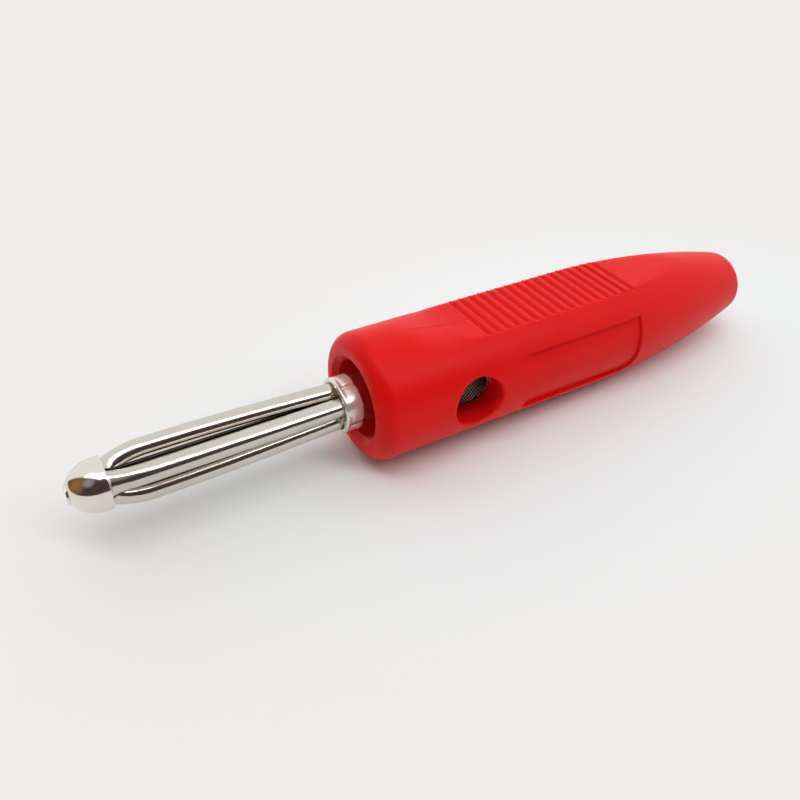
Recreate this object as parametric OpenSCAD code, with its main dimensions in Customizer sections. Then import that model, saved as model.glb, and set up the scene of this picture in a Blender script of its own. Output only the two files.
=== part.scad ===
// Four millimetre banana plug: a moulded handle on a plated contact with four spring leaves.
// The plug lies along X with its nose at the low end. Z is up, and Y runs through the cross hole.
// Every module is drawn with the middle of the handle's front face at zero.

/* [Handle] */
// Wall of plastic round the metal barrel inside it
handle_wall = 2.1; // [1.8:0.05:3]
// Length from the front face to the end of the tail
handle_len = 41.5; // [36:0.5:48]
// Radius of the rounded front rim
front_rim_r = 1.3; // [0.4:0.1:1.5]
// Length of straight barrel before the tail begins to taper
barrel_len = 21.9; // [18:0.1:25]
// Radius of the long arc that the tail tapers along
tail_arc_r = 77; // [70:1:120]
// Radius rolled over the end of the tail
tail_end_r = 0.9; // [0.3:0.1:0.9]
// Diameter of the hole for the cable
cable_hole_d = 3.6; // [2.4:0.1:3.6]
// Chamfer round the mouth of the bore in the front face
mouth_chamfer = 0.4; // [0.2:0.05:0.5]
// Diameter of the cross hole in the plastic
side_hole_d = 4.5; // [4.3:0.1:5]

/* [Grip flats] */
// How far each flat is sunk below the barrel
flat_depth = 0.87; // [0.5:0.01:1]
// Distance from the front face to where the flat is level
flat_start = 9.7; // [8:0.1:12]
// Radius of the scooped ramp that leads down to the flat
ramp_r = 10; // [4:0.5:14]
// Number of grooves on each flat
groove_count = 17; // [4:1:17]
// Distance from one groove to the next
groove_pitch = 0.96; // [0.8:0.02:1]
// Distance from the front face to the first groove
groove_start = 10.9; // [10.5:0.1:13]
// Width of a groove at the flat
groove_w = 0.52; // [0.3:0.02:0.6]

/* [Label pocket] */
// Distance from the front face to the pocket
pocket_start = 13.6; // [13:0.1:16]
// Length of the pocket along the handle
pocket_len = 12.4; // [6:0.1:13]
// Height of the pocket
pocket_h = 5.4; // [3:0.1:6]
// Depth of the pocket below the barrel
pocket_depth = 0.34; // [0.2:0.01:0.5]
// Radius of the pocket's lower rear corner
pocket_corner_r = 1.4; // [0.5:0.1:1.5]

/* [Contact body] */
// Diameter of the metal barrel inside the handle
body_d = 6.4; // [6.2:0.1:6.6]
// Distance from the handle's front face to the rear of the body
body_rear = 24; // [23:0.1:25]
// Distance from the handle's front face to the front of the metal barrel
body_front = 2.2; // [0.5:0.1:2.5]
// Chamfer at both ends of the metal barrel
body_chamfer = 0.3; // [0.1:0.1:0.5]
// Distance from the front face to the cross bore
cross_bore_from_face = 8.7; // [7:0.1:9]
// Diameter of the cross bore that takes the pin of another plug
cross_bore_d = 4.1; // [4:0.05:4.2]
// Diameter of the bore for the bare wire
wire_bore_d = 2.6; // [1.5:0.1:2.8]
// Depth of the bore for the bare wire
wire_bore_depth = 9; // [7:0.5:10]
// Diameter of the waist between the barrel and the neck's crimps
waist_d = 3.9; // [3.5:0.1:4.3]

/* [Neck] */
// Diameter of the crimped neck
neck_d = 4.5; // [4.4:0.1:4.8]
// How far the neck stands out of the handle
neck_reach = 1.6; // [1.4:0.1:3]
// How far the rear end of the crimps stands out of the handle
neck_back = 0.1; // [0.05:0.05:0.3]
// Length of the lip left uncrimped at the front of the neck
lip_len = 0.35; // [0.2:0.05:0.6]
// Diameter of the punch that makes a crimp
crimp_d = 1.6; // [1:0.1:2]
// Depth of a crimp
crimp_depth = 0.32; // [0.1:0.02:0.36]
// Diameter of the ridge that a crimp pushes inwards
crimp_ridge_d = 0.8; // [0.5:0.1:0.9]

/* [Pin] */
// Length of the pin, from its tip to the handle's front face
pin_len = 22; // [19:0.1:26]
// Diameter of the nose
nose_d = 3.9; // [3.8:0.02:3.96]
// Length of the nose and its rivet head
nose_len = 2.75; // [2.5:0.05:3.4]
// Depth of the hollow in the back of the nose
nose_hollow_depth = 0.5; // [0.3:0.05:0.7]
// Wall left round the hollow in the back of the nose
nose_wall = 0.2; // [0.15:0.01:0.25]
// Diameter of the rod that carries the nose
rod_d = 1.4; // [1:0.1:1.5]
// Diameter of the rivet head at the tip
rivet_d = 1.56; // [1.5:0.02:1.6]
// Thickness of the rivet head
rivet_t = 0.3; // [0.28:0.02:0.5]
// How far the rivet head stands out of the nose's dome
rivet_rise = 0.14; // [0.1:0.01:0.25]
// Length of the straight rim behind the nose's dome
nose_rim_len = 0.5; // [0.3:0.05:0.7]
// How far the rod reaches into the body behind the leaves
rod_grip = 2; // [1:0.1:3]

/* [Spring leaves] */
// Turn of the first leaf about the plug's axis, in degrees
leaf_turn = -29; // [-45:1:45]
// Outer width of a leaf
leaf_w = 1.55; // [1.2:0.05:1.6]
// Thickness of the leaf's metal
leaf_t = 0.22; // [0.15:0.01:0.28]
// Half the angle that a leaf's section wraps round, in degrees
leaf_wrap = 112; // [80:1:112]
// Radius from the axis to the back of a leaf in the neck
leaf_root_r = 1.88; // [1.84:0.01:1.9]
// How far a leaf bows out past its root
leaf_bow = 0.4; // [0.1:0.01:0.45]
// Room between a leaf's tip and the wall of the nose's hollow
leaf_tip_room = 0.25; // [0.1:0.01:0.3]
// Width of a leaf at its tip
leaf_tip_w = 0.7; // [0.6:0.05:1]
// Length of a leaf held in the neck
leaf_seat_len = 1.4; // [1.2:0.05:1.45]

/* [Clamp screw] */
// Diameter of the clamp screw
screw_d = 2.5; // [2:0.1:2.5]
// Length of the clamp screw
screw_len = 1.25; // [1:0.05:1.25]
// Distance from the front face to the clamp screw
screw_from_face = 19.5; // [17.5:0.1:21]
// Width of the screwdriver slot
slot_w = 0.5; // [0.3:0.05:0.7]
// Depth of the screwdriver slot
slot_depth = 0.5; // [0.3:0.05:0.5]
// Length of the cone at the tip of the screw
screw_tip_len = 0.4; // [0.2:0.05:0.5]

/* [Hidden] */
// Clearance between the metal barrel and the handle, on the radius
slide_clear = 0.05;
// Clearance between the screw and its hole, on the radius
screw_clear = 0.03;
// Clearance between pieces that are pressed or riveted together, on the radius
press_clear = 0.01;
// Clearance at the ends of pieces that meet inside the handle
end_clear = 0.05;
// How far every cut runs past the surface that it opens
overrun = 1;
// How far the rim of the screw's top is sunk below the barrel's surface
screw_sink = 0.35;
// Length of one step along the tail's long arc, and along the small arcs
arc_step = 1.2;
fine_step = 0.24;
// Bow of each leaf as a share of the named bow: worn leaves differ a little
leaf_bow_shares = [1.05, 0.9, 1, 0.9];
// Place of a leaf's widest point, as a share of its free length from the tip
leaf_peak_share = 0.19;
// Place of the inner face of a crimp's ridge between the neck's bore and the axis
ridge_sink_share = 0.35;
// Smooth and fine circle counts
fn_round = 96;
fn_small = 48;
// Number of rings along a leaf, and of steps round its section
leaf_rings = 22;
leaf_steps = 12;

body_r = body_d / 2;
neck_r = neck_d / 2;
nose_r = nose_d / 2;
rod_r = rod_d / 2;
leaf_r = leaf_w / 2;
leaf_tip_half_w = leaf_tip_w / 2;
screw_r = screw_d / 2;
groove_r = groove_w / 2;

// Bores of the handle, which follow the body inside it, and the barrel round them
handle_bore_r = body_r + slide_clear;
handle_bore_depth = body_rear + end_clear;
handle_r = handle_bore_r + handle_wall;

// The height at which the flats lie
flat_z = handle_r - flat_depth;

// The pin's places along X, counted from the handle's front face
tip_x = -pin_len;
nose_back_x = tip_x + nose_len;
nose_dome_x = nose_back_x - nose_rim_len;
nose_dome_len = (nose_dome_x - tip_x - rivet_rise) / sqrt(1 - pow(rivet_seat_r() / nose_r, 2));
neck_front_x = -neck_reach;
leaf_end_x = neck_front_x + leaf_seat_len;
leaf_tip_x = nose_back_x - nose_hollow_depth + end_clear;
leaf_peak_x = leaf_tip_x + leaf_peak_share * (neck_front_x - leaf_tip_x);
seat_floor_x = leaf_end_x + end_clear;
rod_end_x = seat_floor_x + rod_grip;

// Radii inside the neck and the nose
seat_r = leaf_root_r + end_clear;
nose_hollow_r = nose_r - nose_wall;
leaf_tip_r = nose_hollow_r - leaf_tip_room;

// Heights of the clamp screw, sunk below the barrel's round surface and backed off clear of the wire
screw_top_z = sqrt(pow(body_r, 2) - pow(screw_r, 2)) - screw_sink;
screw_low_z = screw_top_z - screw_len;

// The middle of the plug's length, which sits over the origin
mid_x = (handle_len - pin_len) / 2;

function rivet_seat_r() = rivet_d / 2 + press_clear;

// Points along a circle's arc, in the number of steps that its length asks for
function arc(cx, cy, r, from, to, step) =
    let (count = max(3, ceil(abs(to - from) * PI / 180 * r / step)))
    [for (i = [0:count]) let (a = from + (to - from) * i / count) [cx + r * cos(a), cy + r * sin(a)]];

// Height of a leaf's back above the axis, from its tip to its root
function tip_share(x) = (leaf_peak_x - x) / (leaf_peak_x - leaf_tip_x);
function root_share(x) = (neck_front_x - x) / (neck_front_x - leaf_peak_x);
function leaf_back(x, bow) =
    x >= neck_front_x ? leaf_root_r
    : x >= leaf_peak_x ? leaf_root_r + bow * sin(90 * root_share(x))
    : leaf_tip_r + (leaf_root_r + bow - leaf_tip_r) * (1 - pow(tip_share(x), 2));

// Radius of a leaf's section, which narrows towards its tip
function leaf_half_w(x) =
    x >= leaf_peak_x ? leaf_r
    : leaf_tip_half_w + (leaf_r - leaf_tip_half_w) * (1 - pow(tip_share(x), 2));

// One closed section of a leaf: out along its back, and back along its inside
function leaf_section(x, bow) =
    let (r = leaf_half_w(x), low = leaf_back(x, bow) - r)
    concat(
        [for (i = [0:leaf_steps]) let (a = leaf_wrap * (2 * i / leaf_steps - 1))
            [x, r * sin(a), low + r * cos(a)]],
        [for (i = [leaf_steps:-1:0]) let (a = leaf_wrap * (2 * i / leaf_steps - 1))
            [x, (r - leaf_t) * sin(a), low + (r - leaf_t) * cos(a)]]);

// Turns a cylinder or a revolved outline so that its axis lies along X
module along_x() {
    rotate([90, 0, 90]) children();
}

// A round bar along X between two places
module bar_x(from, to, r) {
    translate([from, 0, 0]) along_x() cylinder(h = to - from, r = r, $fn = fn_round);
}

// A round bar along Y through the whole handle
module bar_y(x, z, r, fn) {
    half = handle_r + overrun;
    translate([x, half, z]) rotate([90, 0, 0]) cylinder(h = 2 * half, r = r, $fn = fn);
}

// The handle's outer form: rounded rim, straight barrel, long tapering arc and rolled end
module handle_form() {
    roll_x = handle_len - tail_end_r;
    inner_arc_r = tail_arc_r - tail_end_r;
    end_a = asin((roll_x - barrel_len) / inner_arc_r);
    roll_r = handle_r - tail_arc_r + inner_arc_r * cos(end_a);
    outline = concat(
        [[0, 0]],
        arc(front_rim_r, handle_r - front_rim_r, front_rim_r, 180, 90, fine_step),
        arc(barrel_len, handle_r - tail_arc_r, tail_arc_r, 90, 90 - end_a, arc_step),
        arc(roll_x, roll_r, tail_end_r, 90 - end_a, 0, fine_step),
        [[handle_len, 0]]);
    along_x() rotate_extrude($fn = fn_round)
        polygon([for (p = outline) [p[1], p[0]]]);
}

// What is cut away above one grip flat: the scooped ramp, the flat and its grooves
module grip_cut() {
    wide = handle_r + overrun;
    translate([0, wide, 0]) rotate([90, 0, 0]) linear_extrude(2 * wide) {
        intersection() {
            translate([flat_start, flat_z + ramp_r]) circle(r = ramp_r, $fn = fn_round * 4);
            translate([0, flat_z - overrun]) square([flat_start + overrun, flat_depth + 2 * overrun]);
        }
        translate([flat_start, flat_z]) square([handle_len, flat_depth + overrun]);
    }
    for (i = [0:groove_count - 1])
        bar_y(groove_start + i * groove_pitch, flat_z, groove_r, fn_small);
}

// The shallow bare label pocket on the near side, with a floor that stays round
module pocket_cut() {
    wide = handle_r + overrun;
    low = -pocket_h / 2;
    difference() {
        translate([pocket_start, 0, 0]) rotate([90, 0, 0]) linear_extrude(wide)
            difference() {
                translate([0, low]) square([pocket_len, pocket_h]);
                translate([pocket_len - pocket_corner_r, low]) difference() {
                    square([pocket_corner_r, pocket_corner_r]);
                    translate([0, pocket_corner_r]) circle(r = pocket_corner_r, $fn = fn_small);
                }
            }
        bar_x(0, handle_len, handle_r - pocket_depth);
    }
}

module handle() {
    color("red") difference() {
        handle_form();
        grip_cut();
        mirror([0, 0, 1]) grip_cut();
        pocket_cut();
        bar_y(cross_bore_from_face, 0, side_hole_d / 2, fn_round);
        along_x() rotate_extrude($fn = fn_round) polygon([
            [0, -overrun], [handle_bore_r + mouth_chamfer + overrun, -overrun],
            [handle_bore_r, mouth_chamfer], [0, mouth_chamfer]]);
        bar_x(-overrun, handle_bore_depth, handle_bore_r);
        bar_x(0, handle_len + overrun, cable_hole_d / 2);
    }
}

// The turned form of the metal body: neck, waist and barrel
module body_form() {
    outline = [
        [0, neck_front_x], [neck_r, neck_front_x],
        [neck_r, -neck_back], [waist_d / 2, -neck_back],
        [waist_d / 2, body_front], [body_r - body_chamfer, body_front],
        [body_r, body_front + body_chamfer],
        [body_r, body_rear - body_chamfer],
        [body_r - body_chamfer, body_rear], [0, body_rear]];
    along_x() rotate_extrude($fn = fn_round) polygon(outline);
}

// Four round bars along the neck, in line with the valleys between the leaves
module crimp_bars(from, to, at_r, r) {
    for (i = [0:3])
        rotate([leaf_turn + 90 * i + 45, 0, 0]) translate([0, 0, at_r])
            bar_x(from, to, r);
}

module contact_body() {
    ridge_r = crimp_ridge_d / 2;
    color("silver") difference() {
        union() {
            difference() {
                body_form();
                bar_x(neck_front_x - overrun, seat_floor_x, seat_r);
            }
            intersection() {
                crimp_bars(neck_front_x + lip_len, -neck_back, seat_r + ridge_sink_share * ridge_r, ridge_r);
                bar_x(neck_front_x, seat_floor_x, neck_r - crimp_depth);
            }
        }
        crimp_bars(neck_front_x + lip_len, -neck_back, neck_r + crimp_d / 2 - crimp_depth, crimp_d / 2);
        bar_x(neck_front_x, rod_end_x, rod_r + press_clear);
        bar_y(cross_bore_from_face, 0, cross_bore_d / 2, fn_round);
        bar_x(body_rear - wire_bore_depth, body_rear + overrun, wire_bore_d / 2);
        translate([screw_from_face, 0, 0])
            cylinder(h = body_r + overrun, r = screw_r + screw_clear, $fn = fn_round);
    }
}

module core_rod() {
    color("silver") {
        bar_x(tip_x, tip_x + rivet_t, rivet_d / 2);
        bar_x(tip_x, rod_end_x, rod_r);
    }
}

module nose_cap() {
    dome_a = acos(rivet_seat_r() / nose_r);
    dome = [for (p = arc(0, 0, nose_r, -dome_a, 0, fine_step))
        [p[0], nose_dome_x + p[1] * nose_dome_len / nose_r]];
    color("silver") difference() {
        along_x() rotate_extrude($fn = fn_round)
            polygon(concat([[0, tip_x + rivet_t], [rivet_seat_r(), tip_x + rivet_t]], dome,
                [[nose_r, nose_back_x], [0, nose_back_x]]));
        bar_x(nose_back_x - nose_hollow_depth, nose_back_x + overrun, nose_hollow_r);
        bar_x(tip_x, nose_back_x, rod_r + press_clear);
    }
}

// One rounded strip, swept from its tip under the nose to its seat in the neck
module spring_leaf(index) {
    bow = leaf_bow * leaf_bow_shares[index];
    size = 2 * (leaf_steps + 1);
    free_x = [for (i = [0:leaf_rings - 2]) let (t = i / (leaf_rings - 2))
        leaf_tip_x + (neck_front_x - leaf_tip_x) * t * (t + 1) / 2];
    rings = concat(free_x, [leaf_end_x]);
    points = [for (x = rings) each leaf_section(x, bow)];
    last = leaf_rings - 1;
    sides = [for (r = [0:last - 1], i = [0:size - 1]) let (n = (i + 1) % size)
        each [[r * size + i, r * size + n, (r + 1) * size + n],
            [r * size + i, (r + 1) * size + n, (r + 1) * size + i]]];
    caps = [for (i = [0:leaf_steps - 1]) let (m = size - 1 - i)
        each [[i, m, m - 1], [i, m - 1, i + 1],
            [last * size + i, last * size + m - 1, last * size + m],
            [last * size + i, last * size + i + 1, last * size + m - 1]]];
    color("silver") rotate([leaf_turn + 90 * index, 0, 0])
        polyhedron(points = points, faces = concat(sides, caps), convexity = 6);
}

module clamp_screw() {
    color("gray") translate([screw_from_face, 0, screw_low_z]) difference() {
        rotate_extrude($fn = fn_round) polygon([
            [0, 0], [screw_r - screw_tip_len, 0], [screw_r, screw_tip_len],
            [screw_r, screw_len], [0, screw_len]]);
        translate([-screw_r - overrun, -slot_w / 2, screw_len - slot_depth])
            cube([screw_d + 2 * overrun, slot_w, slot_depth + overrun]);
    }
}

// Puts a piece in the part's frame: the middle of the length at zero, the barrel's lowest line at zero
module place() {
    translate([-mid_x, 0, handle_r]) children();
}

place() handle();
place() contact_body();
place() core_rod();
place() nose_cap();
place() spring_leaf(0);  // spring_leaf_1
place() spring_leaf(1);  // spring_leaf_2
place() spring_leaf(2);  // spring_leaf_3
place() spring_leaf(3);  // spring_leaf_4
place() clamp_screw();
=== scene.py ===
# %% [markdown]
# # A banana plug, dressed round its frame
# The plug is a red moulded handle pushed over a nickel plated contact. The contact's pin has a domed nose,
# a thin rod and four bowed spring strips, all held in a crimped neck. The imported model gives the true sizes
# and places. These cells build each visible piece as a finer mesh in the same place, give it a finish, and
# light it as in a small white studio.

# %% Load the frame
import math
from functools import partial

import bmesh
import bpy
import numpy as np
from mathutils import Matrix, Vector


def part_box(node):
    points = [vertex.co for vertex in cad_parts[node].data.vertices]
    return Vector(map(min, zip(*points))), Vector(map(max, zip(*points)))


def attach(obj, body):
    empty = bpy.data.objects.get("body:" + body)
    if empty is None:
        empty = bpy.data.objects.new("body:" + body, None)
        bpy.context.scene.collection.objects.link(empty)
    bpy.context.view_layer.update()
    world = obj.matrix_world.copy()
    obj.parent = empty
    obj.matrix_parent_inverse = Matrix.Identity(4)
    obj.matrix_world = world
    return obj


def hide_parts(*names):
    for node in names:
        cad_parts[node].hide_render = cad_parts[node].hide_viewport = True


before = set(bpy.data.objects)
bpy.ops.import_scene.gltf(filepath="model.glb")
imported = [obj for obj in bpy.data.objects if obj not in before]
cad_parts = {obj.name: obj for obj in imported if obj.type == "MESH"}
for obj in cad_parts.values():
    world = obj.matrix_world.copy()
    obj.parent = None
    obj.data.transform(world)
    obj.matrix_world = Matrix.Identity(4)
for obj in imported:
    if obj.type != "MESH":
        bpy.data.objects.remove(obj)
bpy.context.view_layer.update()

print("nodes:", ", ".join(sorted(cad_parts)))

# %% [markdown]
# ## Sizes
# Everything is in metres. What the frame can tell is read from it: the axis, the front face, the barrel and
# the places of the nose and the neck. The rest are the plug's own named sizes. Places along the plug are
# counted from the middle of the handle's front face, forwards negative and backwards positive.

# %% Sizes
mm = 0.001

handle_low, handle_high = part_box("handle")
body_low, body_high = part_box("contact_body")
nose_low, nose_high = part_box("nose_cap")
rod_low, rod_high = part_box("core_rod")
screw_low, screw_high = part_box("clamp_screw")

face_x = handle_low.x
axis_z = (handle_low.z + handle_high.z) / 2
barrel_r = (handle_high.z - handle_low.z) / 2
handle_len = handle_high.x - face_x
body_r = (body_high.y - body_low.y) / 2
body_rear = body_high.x - face_x
neck_front = body_low.x - face_x
nose_r = (nose_high.y - nose_low.y) / 2
nose_back = nose_high.x - face_x
nose_front = nose_low.x - face_x
tip = rod_low.x - face_x
rod_end = rod_high.x - face_x
print(f"handle {handle_len / mm:.2f} mm long, barrel radius {barrel_r / mm:.2f} mm, tip at {tip / mm:.2f} mm")


def world_point(along, y=0.0, z=0.0):
    """A place on the plug: along its axis from the front face, then off the axis."""
    return Vector((face_x + along, y, axis_z + z))


# %% [markdown]
# ## The camera
# The photograph looks down on the plug from its nose end, at about 35 degrees. The lens, the place and the
# turn below were worked out from the outline of the plug in the photograph, with the 3.9 mm nose as the only
# known size. The small upward shift is the photograph's own framing.

# %% Camera
camera_spot = world_point(-24.25 * mm, -46.15 * mm, 40.20 * mm)
camera_azimuth = math.radians(31.75)
camera_elevation = math.radians(35.03)
camera_roll = math.radians(1.94)
camera_lens = 37.30
camera_shift_y = -0.0462

forward = Vector((
    math.sin(camera_azimuth) * math.cos(camera_elevation),
    math.cos(camera_azimuth) * math.cos(camera_elevation),
    -math.sin(camera_elevation)))
level_right = forward.cross(Vector((0, 0, 1))).normalized()
level_up = level_right.cross(forward)
right = level_right * math.cos(camera_roll) + level_up * math.sin(camera_roll)
up = level_up * math.cos(camera_roll) - level_right * math.sin(camera_roll)

camera_data = bpy.data.cameras.new("photo_view")
camera_data.lens = camera_lens
camera_data.sensor_width = 36.0
camera_data.sensor_fit = "HORIZONTAL"
camera_data.shift_y = camera_shift_y
camera_data.clip_start = 1 * mm
camera = bpy.data.objects.new("photo_view", camera_data)
camera.matrix_world = Matrix.Translation(camera_spot) @ Matrix((right, up, -forward)).transposed().to_4x4()
bpy.context.scene.collection.objects.link(camera)
bpy.context.scene.camera = camera
print("camera at", [round(c, 4) for c in camera_spot])

# %% [markdown]
# ## Meshes made of rings
# Nearly every piece of the plug is turned, moulded round or swept, so its surface is a stack of rings. One
# helper lays the rings out: an outline gives each ring's place and radius, a list of angles gives the points
# round it, and an optional rule moves each point in or out. Dents, flats, grooves and threads are all such
# rules, so they come out as true geometry with soft edges, and no piece needs a fine boolean for them.


# %% Ring meshes
def ring_mesh(name, outline, angles, radius_rule=None, press_rule=None, closed=False):
    """A surface round the plug's axis. outline is (along, radius) points; radius 0 makes a closed pole."""
    along = np.array([p[0] for p in outline])
    radius = np.array([p[1] for p in outline])
    turn = np.asarray(angles)
    grid = np.repeat(radius[:, None], len(turn), axis=1)
    if radius_rule is not None:
        grid = radius_rule(along[:, None], grid, turn[None, :])
    points = np.empty((len(along), len(turn), 3))
    points[..., 0] = along[:, None]
    points[..., 1] = grid * np.cos(turn)
    points[..., 2] = grid * np.sin(turn)
    if press_rule is not None:
        points[..., 1] = press_rule(points[..., 0], points[..., 1], points[..., 2])
    points += (face_x, 0.0, axis_z)
    count = len(turn)
    rings = range(len(along) if closed else len(along) - 1)
    faces = []
    for i in rings:
        a = i * count
        b = ((i + 1) % len(along)) * count
        faces += [(a + j, a + (j + 1) % count, b + (j + 1) % count, b + j) for j in range(count)]
    mesh = bpy.data.meshes.new(name)
    mesh.from_pydata(points.reshape(-1, 3).tolist(), [], faces)
    return mesh


def tidy_mesh(mesh, merge=0.002 * mm, sharp_degrees=50):
    """Closes poles and seams, points every face outwards and smooths what isn't a sharp corner."""
    work = bmesh.new()
    work.from_mesh(mesh)
    bmesh.ops.remove_doubles(work, verts=work.verts, dist=merge)
    bmesh.ops.dissolve_degenerate(work, edges=work.edges, dist=merge / 10)
    bmesh.ops.recalc_face_normals(work, faces=work.faces)
    work.to_mesh(mesh)
    work.free()
    mesh.polygons.foreach_set("use_smooth", [True] * len(mesh.polygons))
    mesh.set_sharp_from_angle(angle=math.radians(sharp_degrees))
    return mesh


def add_piece(name, mesh):
    """Links a mesh as an object at the origin."""
    piece = bpy.data.objects.new(name, mesh)
    bpy.context.scene.collection.objects.link(piece)
    return piece


def even_turn(count):
    """Evenly spread angles round the axis."""
    return np.linspace(0, 2 * math.pi, count, endpoint=False)


def arc_points(along, radius, size, start_deg, end_deg, steps):
    """Outline points along a small arc round (along, radius)."""
    return [(along + size * math.cos(math.radians(a)), radius + size * math.sin(math.radians(a)))
            for a in np.linspace(start_deg, end_deg, steps + 1)]


def evaluated_mesh(piece):
    """The piece's mesh with its modifiers applied, which are then removed."""
    graph = bpy.context.evaluated_depsgraph_get()
    mesh = bpy.data.meshes.new_from_object(piece.evaluated_get(graph))
    piece.modifiers.clear()
    piece.data = mesh
    return mesh


def drill(piece, start, end, radius, sides=96):
    """Cuts a round hole between two points, by an exact boolean with a cylinder made here."""
    axis = end - start
    turn = axis.to_track_quat("Z", "Y").to_matrix().to_4x4()
    cutter_mesh = bpy.data.meshes.new("drill")
    work = bmesh.new()
    bmesh.ops.create_cone(work, cap_ends=True, segments=sides, radius1=radius, radius2=radius,
                          depth=axis.length, matrix=Matrix.Translation((start + end) / 2) @ turn)
    work.to_mesh(cutter_mesh)
    work.free()
    cutter = add_piece("drill", cutter_mesh)
    cut = piece.modifiers.new("drill", "BOOLEAN")
    cut.operation = "DIFFERENCE"
    cut.solver = "EXACT"
    cut.object = cutter
    bpy.context.view_layer.update()
    evaluated_mesh(piece)
    bpy.data.objects.remove(cutter)
    bpy.data.meshes.remove(cutter_mesh)


# %% [markdown]
# ## Shared finish groups
# Effects that change over a surface are kept in shader groups, which give out only masks and heights. The
# first is a soft cloudiness with a fine grain, as on any moulded or plated surface. The second is a set of
# fine lines along the plug, left on the strips by drawing the metal through a die. The third tells the
# outside of the pin from the gaps between its strips, by the distance from the axis, and marks where painted
# shade darkens the strips deep in the gaps.


# %% Node helpers
class NodeMaths:
    """Small helper that writes sums as nodes in a tree."""

    def __init__(self, tree):
        self.tree = tree

    def feed(self, node, values):
        """Sets each input of a node to a number, or links it to another node."""
        for socket, value in zip(node.inputs, values):
            if isinstance(value, (int, float)):
                socket.default_value = value
            else:
                self.tree.links.new(value, socket)
        return node.outputs[0]

    def step(self, operation, *values, clamp=False):
        node = self.tree.nodes.new("ShaderNodeMath")
        node.operation = operation
        node.use_clamp = clamp
        return self.feed(node, values)

    def vector(self, x, y, z):
        return self.feed(self.tree.nodes.new("ShaderNodeCombineXYZ"), (x, y, z))

    def distance(self, a, b):
        squares = [self.step("MULTIPLY", side, side) for side in (a, b)]
        return self.step("SQRT", self.step("ADD", *squares))


def new_group(name, inputs, outputs):
    """A shader node group with named inputs (name, value) and named value outputs."""
    group = bpy.data.node_groups.new(name, "ShaderNodeTree")
    for label, value in inputs:
        socket = group.interface.new_socket(label, in_out="INPUT", socket_type="NodeSocketFloat")
        socket.default_value = value
    for label in outputs:
        group.interface.new_socket(label, in_out="OUTPUT", socket_type="NodeSocketFloat")
    return group, group.nodes.new("NodeGroupInput"), group.nodes.new("NodeGroupOutput")


# %% Shader groups
def make_cloud_and_grain():
    """Slow cloudiness and fine grain on Object coordinates."""
    group, given, result = new_group(
        "cloud_and_grain", [("Cloud Scale", 120.0), ("Grain Scale", 6000.0)], ["Cloud", "Grain"])
    place = group.nodes.new("ShaderNodeTexCoord")
    cloud = group.nodes.new("ShaderNodeTexNoise")
    cloud.inputs["Detail"].default_value = 3.0
    grain = group.nodes.new("ShaderNodeTexNoise")
    grain.inputs["Detail"].default_value = 2.0
    link = group.links.new
    link(place.outputs["Object"], cloud.inputs["Vector"])
    link(place.outputs["Object"], grain.inputs["Vector"])
    link(given.outputs["Cloud Scale"], cloud.inputs["Scale"])
    link(given.outputs["Grain Scale"], grain.inputs["Scale"])
    link(cloud.outputs["Fac"], result.inputs["Cloud"])
    link(grain.outputs["Fac"], result.inputs["Grain"])
    return group


def make_drawn_lines():
    """Fine lines along X: noise that is stretched a hundred times along the plug."""
    group, given, result = new_group("drawn_lines", [("Line Scale", 9000.0)], ["Lines"])
    place = group.nodes.new("ShaderNodeTexCoord")
    stretch = group.nodes.new("ShaderNodeMapping")
    stretch.inputs["Scale"].default_value = (0.01, 1.0, 1.0)
    lines = group.nodes.new("ShaderNodeTexNoise")
    lines.inputs["Detail"].default_value = 2.0
    link = group.links.new
    link(place.outputs["Object"], stretch.inputs["Vector"])
    link(stretch.outputs["Vector"], lines.inputs["Vector"])
    link(given.outputs["Line Scale"], lines.inputs["Scale"])
    link(lines.outputs["Fac"], result.inputs["Lines"])
    return group


def make_gap_shade():
    """1 on the outside of the pin and 0 deep between the strips, where painted shade darkens them."""
    sizes = [("Axis Height", axis_z), ("Deep Radius", 0.75 * mm), ("Open Radius", 1.15 * mm)]
    group, given, result = new_group("gap_shade", sizes, ["Open"])
    sums = NodeMaths(group)
    place = group.nodes.new("ShaderNodeTexCoord")
    split = group.nodes.new("ShaderNodeSeparateXYZ")
    fade = group.nodes.new("ShaderNodeMapRange")
    fade.interpolation_type = "SMOOTHSTEP"
    link = group.links.new
    link(place.outputs["Object"], split.inputs["Vector"])
    up = sums.step("SUBTRACT", split.outputs["Z"], given.outputs["Axis Height"])
    link(sums.distance(split.outputs["Y"], up), fade.inputs["Value"])
    link(given.outputs["Deep Radius"], fade.inputs["From Min"])
    link(given.outputs["Open Radius"], fade.inputs["From Max"])
    link(fade.outputs["Result"], result.inputs["Open"])
    return group


cloud_and_grain = make_cloud_and_grain()
drawn_lines = make_drawn_lines()
gap_shade = make_gap_shade()
print("shader groups:", cloud_and_grain.name, drawn_lines.name, gap_shade.name)


# %% [markdown]
# ## Materials
# Each finish starts from one Principled shader. A small helper adds the group, turns its masks into colour
# and roughness, and its heights into a bump whose distance is a few thousandths of a millimetre, or a few
# hundredths for the drill's arcs.


# %% Material helpers
def new_material(name):
    """A material with an empty node tree but for its shader and output."""
    material = bpy.data.materials.new(name)
    material.use_nodes = True
    tree = material.node_tree
    shader = next(n for n in tree.nodes if n.type == "BSDF_PRINCIPLED")
    return material, tree, shader


def use_group(tree, group, **values):
    """Places a shader group and sets its inputs. Underscores in the names stand for spaces."""
    node = tree.nodes.new("ShaderNodeGroup")
    node.node_tree = group
    for label, value in values.items():
        node.inputs[label.replace("_", " ")].default_value = value
    return node


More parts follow.
